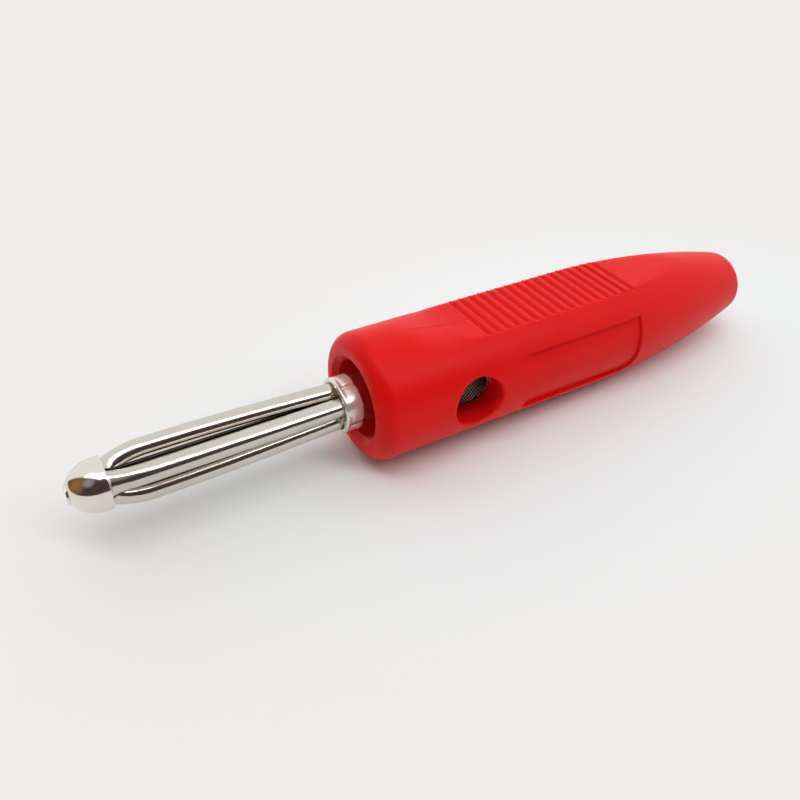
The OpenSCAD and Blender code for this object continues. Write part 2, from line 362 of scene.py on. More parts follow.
def spread(tree, source, low, high, start=0.3, end=0.7):
    """Maps a mask from the range start..end to the range low..high."""
    node = tree.nodes.new("ShaderNodeMapRange")
    node.inputs["From Min"].default_value = start
    node.inputs["From Max"].default_value = end
    node.inputs["To Min"].default_value = low
    node.inputs["To Max"].default_value = high
    tree.links.new(source, node.inputs["Value"])
    return node.outputs["Result"]


def mix_colours(tree, mask, first, second):
    """One colour where the mask is 0 and the other where it is 1."""
    node = tree.nodes.new("ShaderNodeMix")
    node.data_type = "RGBA"
    for socket, value in ((node.inputs[6], first), (node.inputs[7], second)):
        if isinstance(value, tuple):
            socket.default_value = (*value, 1.0)
        else:
            tree.links.new(value, socket)
    tree.links.new(mask, node.inputs[0])
    return node.outputs[2]


def add_bump(tree, shader, height, distance, normal=None):
    """A bump of the given depth in metres, on top of another normal if there is one."""
    node = tree.nodes.new("ShaderNodeBump")
    node.inputs["Distance"].default_value = distance
    tree.links.new(height, node.inputs["Height"])
    if normal is not None:
        tree.links.new(normal, node.inputs["Normal"])
    tree.links.new(node.outputs["Normal"], shader.inputs["Normal"])
    return node.outputs["Normal"]


# %% [markdown]
# ## Red moulded plastic
# The handle is a soft red plastic with a satin skin. Light goes a little way in, which keeps the shaded side
# warm, so the shader has a small subsurface share with a long red reach. The gloss varies slightly.


# %% Red plastic
deep_red = (0.76, 0.005, 0.005)
light_red = (0.80, 0.007, 0.006)
red_glow = 0.12
red_glow_reach = (1.0, 0.10, 0.08)
red_glow_depth = 0.8 * mm
red_shine = 0.12
red_grain_depth = 0.004 * mm


def make_red_plastic():
    material, tree, shader = new_material("red_moulded_plastic")
    skin = use_group(tree, cloud_and_grain, Cloud_Scale=160.0, Grain_Scale=5200.0)
    colour = mix_colours(tree, spread(tree, skin.outputs["Cloud"], 0.0, 1.0), deep_red, light_red)
    tree.links.new(colour, shader.inputs["Base Color"])
    tree.links.new(spread(tree, skin.outputs["Cloud"], 0.34, 0.42), shader.inputs["Roughness"])
    shader.inputs["Specular IOR Level"].default_value = red_shine
    shader.inputs["Subsurface Weight"].default_value = red_glow
    shader.inputs["Subsurface Radius"].default_value = red_glow_reach
    shader.inputs["Subsurface Scale"].default_value = red_glow_depth
    add_bump(tree, shader, skin.outputs["Grain"], red_grain_depth)
    return material


red_plastic = make_red_plastic()
print("finish:", red_plastic.name)

# %% [markdown]
# ## Nickel plate
# The contact is brass under bright nickel, which is a slightly warm mirror. The nose is polished, the strips
# keep their drawing lines, the crimped neck is a little frosted, and the barrel inside the handle shows the
# lathe. Deep between the strips the plate's colour is darkened to a dull brown, as painted shade for the
# shadow in the gaps. The wall of the cross bore is dark too, with arcs left by the drill.


# %% Plated metal
painted_gap_shade_brown = (0.13, 0.085, 0.06)
lubricant_brown = (0.07, 0.03, 0.025)
drilled_brass = (0.48, 0.38, 0.32)
grain_depth = 0.001 * mm
line_height = 0.003 * mm
arc_scale = 1250.0
arc_waver = 4.0
arc_depth = 0.02 * mm


def make_plate(name, light, dark, smooth, rough, line_depth=0.0, metallic=1.0, in_gap=False):
    """Nickel plate between two tints and two roughnesses, with drawing lines of a given depth, and painted
    shade deep between the strips when in_gap is set.
    """
    material, tree, shader = new_material(name)
    skin = use_group(tree, cloud_and_grain, Cloud_Scale=420.0, Grain_Scale=7000.0)
    mask = spread(tree, skin.outputs["Cloud"], 0.0, 1.0)
    tint = mix_colours(tree, mask, light, dark)
    # Painted shade: deep between the strips the tint turns to a dark brown, standing in for the shadow there.
    if in_gap:
        tint = mix_colours(tree, use_group(tree, gap_shade).outputs["Open"], painted_gap_shade_brown, tint)
    tree.links.new(tint, shader.inputs["Base Color"])
    tree.links.new(spread(tree, skin.outputs["Cloud"], smooth, rough), shader.inputs["Roughness"])
    shader.inputs["Metallic"].default_value = metallic
    normal = add_bump(tree, shader, skin.outputs["Grain"], grain_depth)
    if line_depth > 0:
        lines = use_group(tree, drawn_lines)
        add_bump(tree, shader, lines.outputs["Lines"], line_depth, normal=normal)
    return material


def make_bored_wall():
    """The drilled wall of the cross bore: arcs round the drill's axis, with dark lubricant between them."""
    material, tree, shader = new_material("drilled_bore_wall")
    place = tree.nodes.new("ShaderNodeTexCoord")
    arcs = tree.nodes.new("ShaderNodeTexWave")
    arcs.bands_direction = "Y"
    arcs.inputs["Scale"].default_value = arc_scale
    arcs.inputs["Distortion"].default_value = arc_waver
    arcs.inputs["Detail"].default_value = 3.0
    tree.links.new(place.outputs["Object"], arcs.inputs["Vector"])
    mask = spread(tree, arcs.outputs["Fac"], 0.0, 1.0, start=0.4, end=0.95)
    tree.links.new(mix_colours(tree, mask, lubricant_brown, drilled_brass), shader.inputs["Base Color"])
    tree.links.new(spread(tree, arcs.outputs["Fac"], 0.5, 0.25), shader.inputs["Roughness"])
    shader.inputs["Metallic"].default_value = 1.0
    add_bump(tree, shader, arcs.outputs["Fac"], arc_depth)
    return material


polished_nickel = make_plate("polished_nickel", (0.80, 0.77, 0.71), (0.74, 0.71, 0.65), 0.07, 0.13)
crimped_nickel = make_plate("crimped_nickel", (0.86, 0.83, 0.78), (0.80, 0.77, 0.72), 0.16, 0.28,
                            metallic=0.62)
strip_nickel = make_plate("strip_nickel", (0.66, 0.61, 0.55), (0.60, 0.56, 0.50), 0.12, 0.19,
                          line_depth=line_height, in_gap=True)
# Painted shade: a dark, dull brown given to the rod behind the nose and to the strips' inner and edge faces.
painted_gap_shade_metal = make_plate("painted_shade_in_the_gaps", painted_gap_shade_brown, (0.09, 0.055, 0.04), 0.35, 0.5)
turned_nickel = make_plate("turned_nickel", (0.74, 0.71, 0.65), (0.64, 0.61, 0.55), 0.20, 0.32)
screw_steel = make_plate("zinc_plated_steel", (0.56, 0.57, 0.59), (0.42, 0.43, 0.45), 0.28, 0.42)
bored_wall = make_bored_wall()
plates = (polished_nickel, crimped_nickel, strip_nickel, painted_gap_shade_metal, turned_nickel, screw_steel, bored_wall)
print("finishes:", ", ".join(finish.name for finish in plates))

# %% [markdown]
# ## The handle's outline
# The handle is one moulding. Its outline runs round the front rim, back along the straight barrel, down a
# long arc to the tail, over the rolled end, in through the cable hole, forwards along the bore that holds
# the metal barrel, and out through the countersunk mouth in the front face.

# %% Handle sizes
front_rim_r = 1.3 * mm
barrel_len = 21.9 * mm
tail_arc_r = 77 * mm
tail_end_r = 0.9 * mm
cable_hole_r = 1.8 * mm
bore_r = body_r + 0.05 * mm
bore_depth = body_rear + 0.05 * mm
plain_front = 5.4 * mm
plain_tail = 35 * mm
mouth_chamfer = 0.4 * mm
mouth_r = bore_r + mouth_chamfer
side_hole_r = 2.25 * mm
side_hole_at = 8.7 * mm
edge_r = 0.12 * mm

flat_depth = 0.87 * mm
flat_z = barrel_r - flat_depth
flat_start = 9.7 * mm
ramp_r = 10 * mm
groove_count = 17
groove_pitch = 0.96 * mm
groove_start = 10.9 * mm
groove_half_w = 0.25 * mm
nib_y = 3.0 * mm
nib_r = 0.15 * mm
nib_rise = 0.07 * mm
groove_depth = 0.26 * mm
groove_fullness = 0.7

pocket_start = 13.6 * mm
pocket_len = 12.4 * mm
pocket_end = pocket_start + pocket_len
pocket_half_h = 2.7 * mm
pocket_floor_r = barrel_r - 0.34 * mm
pocket_corner_r = 1.4 * mm


def barrel_radius(along):
    """The plain barrel and its tapering arc, before anything is cut into it."""
    past = np.maximum(along - barrel_len, 0.0)
    return barrel_r - tail_arc_r + np.sqrt(tail_arc_r ** 2 - past ** 2)


def spaced(start, end, step):
    """Evenly spaced places from start up to, but not at, end."""
    return list(np.linspace(start, end, max(1, round((end - start) / step)), endpoint=False))


print(f"flats {flat_z / mm:.2f} mm from the axis, bore radius {bore_r / mm:.2f} mm")

# %% [markdown]
# ## The handle's surface rule
# A rule now moves each point of the outer skin inwards. The two grip flats are planes above and below the
# axis, reached by a scooped ramp and crossed by seventeen grooves, and a small nib closes each groove's end.
# A smooth minimum joins plane and barrel, which rounds every edge as a moulding tool does. The label pocket
# keeps a floor that stays round. The skin also dips at the side hole's edge, and carries the fine line where
# the two halves of the tool met.


# %% Handle rule
def smooth_min(a, b, blend):
    """The lower of two surfaces, rounded over a short blend where they cross."""
    near = np.maximum(blend - np.abs(a - b), 0.0) / blend
    return np.minimum(a, b) - near * near * blend / 4


def smooth_step(value, start, end):
    """0 before start, 1 after end, and a smooth rise between them."""
    t = np.clip((value - start) / (end - start), 0.0, 1.0)
    return t * t * (3 - 2 * t)


def groove_offset(along):
    """Distance along the plug to the middle of the nearest groove."""
    index = np.clip(np.round((along - groove_start) / groove_pitch), 0, groove_count - 1)
    return np.abs(along - groove_start - index * groove_pitch)


def grip_height(along):
    """Height of the cut surface above the axis: ramp, flat and grooves."""
    before = np.clip(flat_start - along, 0.0, ramp_r * 0.999)
    height = flat_z + ramp_r - np.sqrt(ramp_r ** 2 - before ** 2)
    off = groove_offset(along)
    depth_share = (0.5 + 0.5 * np.cos(math.pi * np.clip(off / groove_half_w, 0, 1))) ** groove_fullness
    return height - groove_depth * depth_share


def pocket_inside(along, z):
    """Signed distance into the pocket's outline, whose lower rear corner is round."""
    middle = pocket_start + pocket_len / 2
    off_x = np.abs(along - middle) - pocket_len / 2
    off_z = np.abs(z) - pocket_half_h
    plain = np.maximum(off_x, off_z)
    corner_x = along - (pocket_start + pocket_len - pocket_corner_r)
    corner_z = -z - (pocket_half_h - pocket_corner_r)
    rounded = np.hypot(np.maximum(corner_x, 0), np.maximum(corner_z, 0)) - pocket_corner_r
    in_corner = (corner_x > 0) & (corner_z > 0)
    return -np.where(in_corner, np.maximum(plain, rounded), plain)


hole_roll_r = 0.18 * mm
seam_height = 0.025 * mm
seam_half_w = 0.05 * mm
soft_edge = 0.16 * mm
ramp_edge = 0.9 * mm
ramp_edge_from = 7.5 * mm
ramp_edge_to = 9.9 * mm
seam_from = 0.3 * mm
seam_full = 1.5 * mm
seam_fades = 27 * mm
seam_faint = 30 * mm
faint_loss = 0.6
pocket_wall = 0.05 * mm
rolled_at = handle_len - tail_end_r


def handle_rule(along, radius, turn):
    """Moves the outer skin of the handle in or out."""
    outer = (radius > mouth_r + edge_r) & (along > 0) & (along < rolled_at + tail_end_r * 0.9)
    sine = np.maximum(np.abs(np.sin(turn)), 0.2)
    flat = np.where(along > flat_start - ramp_r, grip_height(along) / sine, 1.0)
    blend = soft_edge + ramp_edge * (1 - smooth_step(along, ramp_edge_from, ramp_edge_to))
    shaped = smooth_min(radius, flat, blend)
    nib_gap = np.hypot(groove_offset(along), np.abs(radius * np.cos(turn)) - nib_y)
    shaped = shaped + (radius + nib_rise - shaped) * np.exp(-(nib_gap / nib_r) ** 2)
    z = radius * np.sin(turn)
    rim_gap = np.hypot(along - side_hole_at, z) - side_hole_r
    inner = np.clip(hole_roll_r - rim_gap, 0, hole_roll_r)
    shaped = shaped - (hole_roll_r - np.sqrt(np.maximum(hole_roll_r ** 2 - inner ** 2, 0)))
    seam_gap = np.abs(radius * np.cos(turn))
    seam = seam_height * np.clip(1 - seam_gap / seam_half_w, 0, 1)
    faint = 1 - faint_loss * smooth_step(along, seam_fades, seam_faint)
    seam = seam * smooth_step(along, seam_from, seam_full) * faint
    shaped = shaped + np.where(shaped < barrel_r - seam_height, seam, 0)
    return np.where(outer, shaped, radius)


def press_pocket(along, y, z):
    """Presses the label pocket straight in from the side, so that its walls stand square."""
    sunk = smooth_step(pocket_inside(along, z), -pocket_wall / 2, pocket_wall / 2)
    floor = -np.sqrt(np.maximum(pocket_floor_r ** 2 - z ** 2, 0))
    near_skin = (y < 0) & (np.hypot(y, z) > bore_r + edge_r)
    return np.where(near_skin & (y < floor), y + sunk * (floor - y), y)


print(f"groove bottoms {grip_height(groove_start) / mm:.2f} mm from the axis")

# %% [markdown]
# ## Building the handle
# The rings are close together where the grooves, the hole and the pocket are, and wide apart elsewhere. The
# same goes for the angles: fine on the two sides, fine along the edges of the flats, coarse on the flats.
# The side hole is then drilled right through.


# %% Handle outline and angles
def handle_outline():
    """Round the whole section: rim, barrel, tail, cable hole, bore and mouth."""
    ribs_end = groove_start + (groove_count - 0.5) * groove_pitch
    ribs_begin = groove_start - groove_pitch / 2
    end_a = math.asin((rolled_at - barrel_len) / (tail_arc_r - tail_end_r))
    roll_r = barrel_r - tail_arc_r + (tail_arc_r - tail_end_r) * math.cos(end_a)
    stations = (spaced(front_rim_r, plain_front, 0.4 * mm) + spaced(plain_front, ribs_begin, 0.11 * mm)
                + spaced(ribs_begin, ribs_end, groove_pitch / 10) + spaced(ribs_end, plain_tail, 0.2 * mm)
                + [pocket_start - pocket_wall / 2, pocket_start + pocket_wall / 2]
                + spaced(pocket_end - pocket_corner_r, pocket_end + pocket_wall, 0.045 * mm)
                + spaced(plain_tail, barrel_len + tail_arc_r * math.sin(end_a), 0.4 * mm))
    points = arc_points(front_rim_r, barrel_r - front_rim_r, front_rim_r, 180, 90, 12)[:-1]
    points += [(s, float(barrel_radius(s))) for s in sorted(stations)]
    points += arc_points(rolled_at, roll_r, tail_end_r, 90 - math.degrees(end_a), 0, 9)
    points += arc_points(handle_len - edge_r, cable_hole_r + edge_r, edge_r, 0, -90, 4)
    points += [(s, cable_hole_r) for s in (38 * mm, 34 * mm, 30 * mm, bore_depth)]
    points += arc_points(bore_depth - edge_r, bore_r - edge_r, edge_r, 0, 90, 3)
    points += [(s, bore_r) for s in (18 * mm, 12 * mm, 6 * mm)]
    points += arc_points(mouth_chamfer + edge_r, bore_r + edge_r, edge_r, -90, -135, 3)
    points += arc_points(edge_r, mouth_r + edge_r, edge_r, -135, -180, 3)
    return points


def handle_angles():
    """Angles of one quarter in degrees, then the other three as its mirror images."""
    quarter = (list(np.arange(0, 29.9, 1.15)) + list(np.arange(29.9, 31.5, 0.2))
               + list(np.arange(31.5, 50, 2.3)) + list(np.arange(50, 64, 1.15))
               + list(np.arange(64, 86, 4.4)) + [86, 88, 89.1, 89.5, 90])
    half = quarter + [180 - a for a in reversed(quarter[:-1])]
    whole = half[:-1] + [a + 180 for a in half[:-1]]
    return np.radians(whole)


handle_mesh = ring_mesh("red_handle", handle_outline(), handle_angles(), handle_rule, press_pocket,
                        closed=True)
tidy_mesh(handle_mesh)
red_handle = add_piece("red_handle", handle_mesh)
through = barrel_r + 1 * mm
drill(red_handle, world_point(side_hole_at, -through), world_point(side_hole_at, through), side_hole_r)
tidy_mesh(red_handle.data)
red_handle.data.materials.clear()
red_handle.data.materials.append(red_plastic)
print("handle faces:", len(red_handle.data.polygons))

# %% [markdown]
# ## The contact body
# The body is turned from one bar: a neck that holds the pin, a narrow waist, and the barrel inside the
# handle. The neck is crimped by four narrow punches between the strips, which fold it round them: each strip
# gets a lobe with a crease on either side. The barrel has the cross bore, the wire bore and the screw's hole.
# Each face gets its finish by its place: the neck is frosted, the cross bore is drilled, the rest is turned.

# %% Body sizes and rule
neck_r = 2.25 * mm
seat_r = 1.93 * mm
seat_floor = -0.15 * mm
neck_rear = -0.1 * mm
waist_r = 1.95 * mm
body_front = 2.2 * mm
chamfer = 0.3 * mm
rod_r = 0.7 * mm
rod_hole_r = rod_r + 0.01 * mm
wire_bore_r = 1.3 * mm
wire_bore_depth = 9 * mm
cross_bore_r = 2.05 * mm
screw_at = (screw_low.x + screw_high.x) / 2 - face_x
screw_r = (screw_high.y - screw_low.y) / 2
screw_hole_r = screw_r + 0.03 * mm
leaf_turns = [61, 151, 241, 331]
lip_len = 0.35 * mm
crease_half_w = 0.24 * mm
crease_depth = 0.30 * mm
lobe_fall = 0.12 * mm
leaf_r = 0.76 * mm
leaf_root_r = 1.88 * mm
seat_room = 0.09 * mm
fine_edge = 0.06 * mm


def neck_rule(along, radius, turn):
    """Presses a crease into the neck between each two strips, and folds its inside round the strips."""
    on_neck = (radius > seat_r + fine_edge) & (along < neck_rear + 0.01 * mm) & (radius <= neck_r * 1.001)
    in_seat = (np.abs(radius - seat_r) <= fine_edge * 1.01) & (along < neck_rear - 0.01 * mm)
    quarter = math.pi / 2
    off = np.abs((turn - math.radians(leaf_turns[0]) + quarter) % quarter - quarter / 2)
    across = off * neck_r
    crease = crease_depth * np.clip(1 - across / crease_half_w, 0, 1) ** 1.3
    push = crease + lobe_fall * (1 - off / (quarter / 2)) ** 2
    strip_mid = leaf_root_r - leaf_r
    from_strip = quarter / 2 - off
    half_chord = np.sqrt(np.maximum(leaf_r ** 2 - (strip_mid * np.sin(from_strip)) ** 2, 0))
    strip_skin = strip_mid * np.cos(from_strip) + half_chord
    fold = np.maximum(seat_r - strip_skin - seat_room, 0)
    outside_fade = smooth_step(along, neck_front + lip_len * 0.3, neck_front + lip_len * 1.3)
    inside_fade = smooth_step(along, neck_front - lip_len * 0.2, neck_front + lip_len * 0.8)
    return radius - np.where(on_neck, push * outside_fade, 0) - np.where(in_seat, fold * inside_fade, 0)


def body_outline():
    """From the bottom of the rod's hole out over the lip and back to the bottom of the wire bore."""
    points = [(rod_end, 0.0), (rod_end, rod_hole_r), (seat_floor, rod_hole_r), (seat_floor, seat_r)]
    points += [(neck_front + lip_len * share, seat_r) for share in (1.6, 1.2, 0.9, 0.7, 0.5, 0.3)]
    points += arc_points(neck_front + fine_edge, seat_r + fine_edge, fine_edge, -90, -180, 3)
    points += arc_points(neck_front + 2 * fine_edge, neck_r - 2 * fine_edge, 2 * fine_edge, 180, 90, 5)
    neck_rings = spaced(neck_front + 2.5 * fine_edge, neck_rear - 2.5 * fine_edge, 0.04 * mm)
    points += [(s, neck_r) for s in neck_rings]
    points += arc_points(neck_rear - 2 * fine_edge, neck_r - 2 * fine_edge, 2 * fine_edge, 90, 0, 5)
    points += arc_points(neck_rear + fine_edge / 2, waist_r + fine_edge / 2, fine_edge / 2, -180, -90, 2)
    points += arc_points(body_front - fine_edge / 2, waist_r + fine_edge / 2, fine_edge / 2, -90, 0, 2)
    points += [(body_front, body_r - chamfer), (body_front + chamfer, body_r)]
    points += [(s, body_r) for s in spaced(body_front + 2 * chamfer, body_rear - chamfer, 0.8 * mm)]
    points += [(body_rear - chamfer, body_r), (body_rear, body_r - chamfer)]
    points += arc_points(body_rear - fine_edge, wire_bore_r + fine_edge, fine_edge, 0, -90, 3)
    points += [(s, wire_bore_r) for s in (21 * mm, 18 * mm)]
    points += [(body_rear - wire_bore_depth, wire_bore_r), (body_rear - wire_bore_depth, 0.0)]
    return points


print(f"neck radius {neck_r / mm:.2f} mm, screw {screw_at / mm:.2f} mm behind the front face")

# %% Contact body
bore_wall_reach = 0.03 * mm
body_mesh = ring_mesh("crimped_contact_body", body_outline(), even_turn(192), neck_rule)
tidy_mesh(body_mesh)
contact_body = add_piece("crimped_contact_body", body_mesh)
drill(contact_body, world_point(side_hole_at, -through), world_point(side_hole_at, through), cross_bore_r)
drill(contact_body, world_point(screw_at), world_point(screw_at, 0, through), screw_hole_r, sides=64)
tidy_mesh(contact_body.data, sharp_degrees=38)
contact_body.data.materials.clear()
for finish in (turned_nickel, bored_wall, crimped_nickel):
    contact_body.data.materials.append(finish)
for face in contact_body.data.polygons:
    off = math.hypot(face.center.x - face_x - side_hole_at, face.center.z - axis_z)
    bored = abs(off - cross_bore_r) < bore_wall_reach
    face.material_index = 1 if bored else 2 if face.center.x - face_x < neck_rear else 0
print("contact body faces:", len(contact_body.data.polygons))

# %% [markdown]
# ## The nose and its rod
# The nose is a turned cap with a hollow back that shelters the tips of the strips. Its dome is a little
# longer than a half ball. A thin rod runs through it, and its end is riveted over in a shallow seat at the
# tip. The rivet head is not quite round, and lifts off a little on one side, which leaves the thin dark line
# in the photograph. Behind the nose the rod is painted a dull brown, as painted shade for the dark gaps
# between the strips.

# %% Nose cap
rivet_r = 0.78 * mm
rivet_seat = tip + 0.3 * mm
nose_hollow_r = nose_r - 0.2 * mm
nose_hollow = 0.5 * mm
nose_edge = 0.05 * mm
dome_at = nose_back - 0.5 * mm
dome_len = (dome_at - nose_front) / math.sqrt(1 - (rivet_r / nose_r) ** 2)


def nose_outline():
    """From the rivet's seat over the dome and back into the hollow."""
    start = math.degrees(math.asin(rivet_r / nose_r))
    points = [(rivet_seat, rod_hole_r), (rivet_seat, rivet_r)]
    points += [(dome_at + dome_len * math.cos(math.radians(a)), nose_r * math.sin(math.radians(a)))
               for a in np.linspace(180 - start, 90, 31)]
    points += [(nose_back - 4 * nose_edge, nose_r)]
    points += arc_points(nose_back - nose_edge, nose_r - nose_edge, nose_edge, 90, 0, 4)
    points += arc_points(nose_back - nose_edge, nose_hollow_r + nose_edge, nose_edge, 0, -90, 3)
    points += [(nose_back - nose_hollow, nose_hollow_r), (nose_back - nose_hollow, rod_hole_r)]
    return points


nose_mesh = ring_mesh("domed_nose", nose_outline(), even_turn(128), closed=True)
tidy_mesh(nose_mesh)
nose = add_piece("domed_nose", nose_mesh)
nose.data.materials.append(polished_nickel)
print("nose faces:", len(nose.data.polygons))


# %% Riveted rod
head_r = rivet_r * 0.96
head_edge = 0.04 * mm
gap_r = 0.6 * mm
gap_turn = math.radians(215)
hair = 0.01 * mm


def rod_rule(along, radius, turn):
    """A rivet head that isn't quite round, with a gap behind it on one side."""
    head = along < rivet_seat - hair
    uneven = 1 + 0.012 * np.sin(3 * turn + 1.0) + 0.008 * np.sin(7 * turn)
    lifted = np.clip(0.5 + 1.5 * np.cos(turn - gap_turn), 0, 1)
    in_gap = head & (radius > gap_r - hair) & (radius < gap_r + hair)
    radius = np.where(in_gap, head_r + (gap_r - head_r) * lifted, radius)
    return np.where(head & (radius > 0), radius * uneven, radius)


def rod_outline():
    """The head's face, edge and gap, its back on the seat, then the plain rod to its end in the body."""
    points = [(tip, 0.0), (tip + 0.004 * mm, rivet_r * 0.5)]
    points += arc_points(tip + head_edge, head_r - head_edge, head_edge, 170, 90, 4)
    points += [(tip + 0.07 * mm, head_r), (tip + 0.08 * mm, gap_r)]
    points += [(tip + 0.15 * mm, gap_r), (tip + 0.16 * mm, head_r)]
    points += [(rivet_seat, head_r), (rivet_seat, rod_r)]
    points += [(s, rod_r) for s in spaced(nose_back, rod_end, 2 * mm)]
    points += [(rod_end, rod_r), (rod_end, 0.0)]
    return points


rod_mesh = ring_mesh("riveted_rod", rod_outline(), even_turn(72), rod_rule)
tidy_mesh(rod_mesh)
rod = add_piece("riveted_rod", rod_mesh)
rod.data.materials.append(polished_nickel)
rod.data.materials.append(painted_gap_shade_metal)
# Behind the nose the rod gets painted shade: the dark brown of the gaps between the strips.
for face in rod.data.polygons:
    face.material_index = 1 if face.center.x - face_x > nose_back - nose_hollow else 0
print("rod faces:", len(rod.data.polygons))

# %% [markdown]
# ## The spring strips
# Four strips of spring brass are rounded across and bowed along, and plated. They are one shape made four
# times, so a node tree sweeps it: a line along the plug is bent into the bow, its radius narrows towards the
# tip, and a C shaped section is drawn along it. The strip's end was cut round while it was still flat, so the
# tree then closes the C's angle over the last stretch, and a dark gap opens between the tips. The tree's
# inputs are the strip's sizes, and each strip gets its own turn and bow. Faces that look inwards or sideways,
# away from the C's middle line, are then painted a dull brown, as painted shade for the dark gaps.

# %% Strip sizes
leaf_t = 0.22 * mm
leaf_wrap = math.radians(126)
leaf_tip_wrap = 0.22
leaf_trim_at = 3.0 * mm
leaf_bows = [0.42 * mm, 0.36 * mm, 0.40 * mm, 0.36 * mm]
leaf_tip = nose_back - nose_hollow + 0.05 * mm
leaf_peak_share = 0.19
leaf_peak = leaf_tip + leaf_peak_share * (neck_front - leaf_tip)
leaf_end = neck_front + 1.4 * mm
leaf_tip_r = nose_hollow_r - 0.25 * mm
leaf_tip_share = 0.66
leaf_mid_r = 1.3 * mm
shade_facing_limit = 0.35
print(f"strips {(leaf_end - leaf_tip) / mm:.2f} mm long, widest {leaf_peak / mm:.2f} mm from the front face")


# %% Strip node tree
LEAF_INPUTS = ["Tip", "Peak", "Neck", "End", "Root Radius", "Tip Radius", "Bow", "Half Width", "Tip Share",
               "Thickness", "Wrap", "Trim Length", "Tip Wrap", "Turn", "Face", "Axis Height"]


def make_strip_tree(rings=84, section=56):
    """Builds the sweep once. Every length is a named input in metres, and every angle is in radians."""
    tree = bpy.data.node_groups.new("bowed_spring_strip", "GeometryNodeTree")
    for label in LEAF_INPUTS:
        tree.interface.new_socket(label, in_out="INPUT", socket_type="NodeSocketFloat")
    tree.interface.new_socket("Finish", in_out="INPUT", socket_type="NodeSocketMaterial")
    tree.interface.new_socket("Geometry", in_out="OUTPUT", socket_type="NodeSocketGeometry")
    given = tree.nodes.new("NodeGroupInput").outputs
    result = tree.nodes.new("NodeGroupOutput")
    link = tree.links.new
    sums = NodeMaths(tree)
    step, vector = sums.step, sums.vector
    add, sub, mul, div = (partial(step, name) for name in ("ADD", "SUBTRACT", "MULTIPLY", "DIVIDE"))

    # A straight line along the plug, in as many rings as the strip has.
    line = tree.nodes.new("GeometryNodeCurvePrimitiveLine")
    link(vector(given["Tip"], 0.0, 0.0), line.inputs["Start"])
    link(vector(given["End"], 0.0, 0.0), line.inputs["End"])
    resample = tree.nodes.new("GeometryNodeResampleCurve")
    resample.inputs["Count"].default_value = rings
    link(line.outputs["Curve"], resample.inputs["Curve"])

    # The strip's back: it rises from the neck to the peak, and falls from there to the tip.
    here = tree.nodes.new("GeometryNodeInputPosition")
    split = tree.nodes.new("ShaderNodeSeparateXYZ")
    link(here.outputs[0], split.inputs[0])
    x = split.outputs["X"]
    root_share = div(sub(given["Neck"], x), sub(given["Neck"], given["Peak"]), clamp=True)
    tip_share = div(sub(given["Peak"], x), sub(given["Peak"], given["Tip"]), clamp=True)
    rise = mul(given["Bow"], step("SINE", mul(root_share, math.pi / 2)))
    fall = sub(add(given["Root Radius"], given["Bow"]), given["Tip Radius"])
    drop = mul(fall, step("POWER", tip_share, 2.0))
    back = sub(add(given["Root Radius"], rise), drop)
    bend = tree.nodes.new("GeometryNodeSetPosition")
    link(resample.outputs["Curve"], bend.inputs["Geometry"])
    link(vector(x, 0.0, back), bend.inputs["Position"])

    # The section narrows towards the tip.
    taper = sub(1.0, step("POWER", tip_share, 2.0))
    narrow = step("MULTIPLY_ADD", sub(1.0, given["Tip Share"]), taper, given["Tip Share"])
    radius = tree.nodes.new("GeometryNodeSetCurveRadius")
    link(bend.outputs["Geometry"], radius.inputs["Curve"])
    link(narrow, radius.inputs["Radius"])
    level = tree.nodes.new("GeometryNodeSetCurveNormal")
    level.mode = "Z_UP"
    link(radius.outputs["Curve"], level.inputs["Curve"])

    # The C shaped section: half of the circle's points swing out along the outside, the rest back inside.
    ring = tree.nodes.new("GeometryNodeCurvePrimitiveCircle")
    ring.inputs["Resolution"].default_value = section
    share = div(tree.nodes.new("GeometryNodeInputIndex").outputs[0], float(section))
    outside = step("LESS_THAN", share, 0.5)
    inside = sub(1.0, outside)
    there = step("MULTIPLY_ADD", share, 4.0 * section / (section - 2), -1.0)
    again = sub(1.0, mul(sub(share, 0.5), 4.0 * section / (section - 2)))
    swing = add(mul(there, outside), mul(again, inside))
    angle = mul(swing, given["Wrap"])
    section_r = sub(given["Half Width"], mul(given["Thickness"], inside))
    across = mul(section_r, step("SINE", angle))
    high = sub(given["Half Width"], mul(section_r, step("COSINE", angle)))
    shape = tree.nodes.new("GeometryNodeSetPosition")
    link(ring.outputs["Curve"], shape.inputs["Geometry"])
    link(vector(across, high, 0.0), shape.inputs["Position"])
    sweep = tree.nodes.new("GeometryNodeCurveToMesh")
    sweep.inputs["Fill Caps"].default_value = True
    link(level.outputs["Curve"], sweep.inputs["Curve"])
    link(shape.outputs["Geometry"], sweep.inputs["Profile Curve"])

    # The rounded end: near the tip, each point swings back towards the middle of the strip.
    middle = sub(back, mul(given["Half Width"], narrow))
    side = split.outputs["Y"]
    above = sub(split.outputs["Z"], middle)
    from_middle = sums.distance(side, above)
    to_tip = sub(1.0, div(sub(x, given["Tip"]), given["Trim Length"]), clamp=True)
    rounded = step("SQRT", sub(1.0, step("POWER", to_tip, 2.0), clamp=True))
    keep = step("MULTIPLY_ADD", sub(1.0, given["Tip Wrap"]), rounded, given["Tip Wrap"])
    kept = mul(step("ARCTAN2", side, above), keep)
    trim = tree.nodes.new("GeometryNodeSetPosition")
    link(sweep.outputs["Mesh"], trim.inputs["Geometry"])
    kept_high = add(middle, mul(from_middle, step("COSINE", kept)))
    link(vector(x, mul(from_middle, step("SINE", kept)), kept_high), trim.inputs["Position"])

